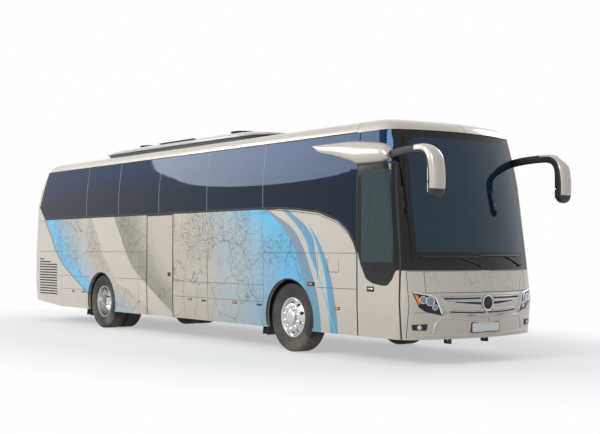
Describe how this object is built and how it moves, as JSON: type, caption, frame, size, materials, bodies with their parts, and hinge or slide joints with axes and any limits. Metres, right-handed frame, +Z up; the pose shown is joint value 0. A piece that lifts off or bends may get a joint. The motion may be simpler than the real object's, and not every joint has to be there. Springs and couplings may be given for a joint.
{
  "type": "coach bus",
  "caption": "Two-axle high-deck touring coach with opening doors, luggage flaps and lids, steering front wheels and twin rear wheels.",
  "frame": {"origin": "on the ground below the middle of the whole vehicle with its mirrors", "axes": "+X forward, +Y to the vehicle's left, +Z up"},
  "size_m": [12.68, 2.74, 3.58],
  "materials": {
    "champagne_paint": "satin metallic",
    "black_trim": "gloss",
    "dark_plastic": "matt",
    "tinted_glass": "tinted",
    "screen_glass": "lightly tinted",
    "lamp_glass": "clear",
    "red_lamp": "clear red",
    "polished_alloy": "polished",
    "tyre_rubber": "matt",
    "cast_steel": "black painted",
    "frame_steel": "matt",
    "floor_board": "vinyl covered",
    "seat_cloth": "woven",
    "pale_plastic": "satin"
  },
  "bodies": {
    "coach": {"waist_panels": "champagne_paint", "skirt_panels": "champagne_paint", "window_pillars": "black_trim", "side_glass": "tinted_glass", "roof_skin": "champagne_paint", "roof_front_cap": "champagne_paint", "rear_shell": "champagne_paint", "rear_window": "tinted_glass", "tail_lamps": "red_lamp", "front_mask": "champagne_paint", "grille": "champagne_paint", "headlamps": "lamp_glass", "screen_frame": "black_trim", "windscreen": "screen_glass", "side_louvres": "champagne_paint", "floor_structure": "floor_board", "cockpit_floor": "floor_board", "wheel_arch_liners": "dark_plastic", "underframe": "frame_steel", "engine_block": "cast_steel", "front_axle_beam": "cast_steel", "rear_axle_housing": "cast_steel", "passenger_seats_left": "seat_cloth", "passenger_seats_right": "seat_cloth", "luggage_racks": "pale_plastic", "driver_seat": "seat_cloth", "dashboard": "dark_plastic", "steering_wheel": "dark_plastic", "roof_unit": "champagne_paint", "mirror_fairings": "champagne_paint", "mirrors": "black_trim", "wipers": "dark_plastic"},
    "front_door_arm": {"front_door_arm": "frame_steel"},
    "front_door": {"front_door": "champagne_paint", "front_door_glass": "tinted_glass"},
    "middle_door_arm": {"middle_door_arm": "frame_steel"},
    "middle_door": {"middle_door": "champagne_paint"},
    "bonnet_flap": {"bonnet_flap": "champagne_paint"},
    "engine_lid": {"engine_lid": "champagne_paint"},
    "filler_flap": {"filler_flap": "champagne_paint"},
    "luggage_flap_right_front": {"luggage_flap_right_front": "champagne_paint"},
    "luggage_flap_right_rear": {"luggage_flap_right_rear": "champagne_paint"},
    "equipment_flap_right": {"equipment_flap_right": "champagne_paint"},
    "luggage_flap_left_front": {"luggage_flap_left_front": "champagne_paint"},
    "luggage_flap_left_middle": {"luggage_flap_left_middle": "champagne_paint"},
    "luggage_flap_left_rear": {"luggage_flap_left_rear": "champagne_paint"},
    "equipment_flap_left": {"equipment_flap_left": "champagne_paint"},
    "knuckle_right": {"knuckle_right": "cast_steel"},
    "front_wheel_right": {"front_rim_right": "polished_alloy", "front_tyre_right": "tyre_rubber"},
    "rear_wheels_right": {"rear_rims_right": "polished_alloy", "rear_tyres_right": "tyre_rubber"},
    "knuckle_left": {"knuckle_left": "cast_steel"},
    "front_wheel_left": {"front_rim_left": "polished_alloy", "front_tyre_left": "tyre_rubber"},
    "rear_wheels_left": {"rear_rims_left": "polished_alloy", "rear_tyres_left": "tyre_rubber"}
  },
  "joints": [
    {"name": "front_door_swing", "type": "hinge", "parent": "coach", "child": "front_door_arm", "pos_m": [5.5, -1.115, 1], "axis": [0, 0, 1], "range_deg": [0, 100]},
    {"name": "front_door_parallel", "type": "hinge", "parent": "front_door_arm", "child": "front_door", "pos_m": [4.88, -1.115, 1], "axis": [0, 0, 1], "range_deg": [-100, 0]},
    {"name": "middle_door_swing", "type": "hinge", "parent": "coach", "child": "middle_door_arm", "pos_m": [-1.08, -1.115, 0.7], "axis": [0, 0, -1], "range_deg": [0, 100]},
    {"name": "middle_door_parallel", "type": "hinge", "parent": "middle_door_arm", "child": "middle_door", "pos_m": [-0.46, -1.115, 0.7], "axis": [0, 0, -1], "range_deg": [-100, 0]},
    {"name": "luggage_flap_right_front_lift", "type": "hinge", "parent": "coach", "child": "luggage_flap_right_front", "pos_m": [1.7, -1.27079, 1.475], "axis": [-1, 0, 0], "range_deg": [0, 90]},
    {"name": "luggage_flap_right_rear_lift", "type": "hinge", "parent": "coach", "child": "luggage_flap_right_rear", "pos_m": [0.35, -1.27079, 1.475], "axis": [-1, 0, 0], "range_deg": [0, 90]},
    {"name": "equipment_flap_right_lift", "type": "hinge", "parent": "coach", "child": "equipment_flap_right", "pos_m": [-4.165, -1.27079, 1.475], "axis": [-1, 0, 0], "range_deg": [0, 90]},
    {"name": "luggage_flap_left_front_lift", "type": "hinge", "parent": "coach", "child": "luggage_flap_left_front", "pos_m": [1.7, 1.27079, 1.475], "axis": [1, 0, 0], "range_deg": [0, 90]},
    {"name": "luggage_flap_left_middle_lift", "type": "hinge", "parent": "coach", "child": "luggage_flap_left_middle", "pos_m": [0.1, 1.27079, 1.475], "axis": [1, 0, 0], "range_deg": [0, 90]},
    {"name": "luggage_flap_left_rear_lift", "type": "hinge", "parent": "coach", "child": "luggage_flap_left_rear", "pos_m": [-1.5, 1.27079, 1.475], "axis": [1, 0, 0], "range_deg": [0, 90]},
    {"name": "equipment_flap_left_lift", "type": "hinge", "parent": "coach", "child": "equipment_flap_left", "pos_m": [-4.165, 1.27079, 1.475], "axis": [1, 0, 0], "range_deg": [0, 90]},
    {"name": "filler_flap_lift", "type": "hinge", "parent": "coach", "child": "filler_flap", "pos_m": [4.195, -1.27097, 1.39], "axis": [-1, 0, 0], "range_deg": [0, 90]},
    {"name": "bonnet_lift", "type": "hinge", "parent": "coach", "child": "bonnet_flap", "pos_m": [5.89903, 0, 1.244], "axis": [0, -1, 0], "range_deg": [0, 70]},
    {"name": "engine_lid_lift", "type": "hinge", "parent": "coach", "child": "engine_lid", "pos_m": [-6.28313, 0, 2.013], "axis": [0, 1, 0], "range_deg": [0, 80]},
    {"name": "steering_right", "type": "hinge", "parent": "coach", "child": "knuckle_right", "pos_m": [3.14, -0.85, 0.516], "axis": [0, 0, 1], "range_deg": [-42, 42]},
    {"name": "front_wheel_spin_right", "type": "hinge", "parent": "knuckle_right", "child": "front_wheel_right", "pos_m": [3.14, -1.072, 0.516], "axis": [0, 1, 0], "continuous": true},
    {"name": "rear_wheel_spin_right", "type": "hinge", "parent": "coach", "child": "rear_wheels_right", "pos_m": [-2.95, -0.913, 0.516], "axis": [0, 1, 0], "continuous": true},
    {"name": "steering_left", "type": "hinge", "parent": "coach", "child": "knuckle_left", "pos_m": [3.14, 0.85, 0.516], "axis": [0, 0, 1], "range_deg": [-42, 42]},
    {"name": "front_wheel_spin_left", "type": "hinge", "parent": "knuckle_left", "child": "front_wheel_left", "pos_m": [3.14, 1.072, 0.516], "axis": [0, 1, 0], "continuous": true},
    {"name": "rear_wheel_spin_left", "type": "hinge", "parent": "coach", "child": "rear_wheels_left", "pos_m": [-2.95, 0.913, 0.516], "axis": [0, 1, 0], "continuous": true}
  ],
  "couplings": [
    {"joint": "front_door_parallel", "follows": "front_door_swing", "ratio": -1},
    {"joint": "middle_door_parallel", "follows": "middle_door_swing", "ratio": -1},
    {"joint": "steering_left", "follows": "steering_right", "ratio": 1}
  ]
}
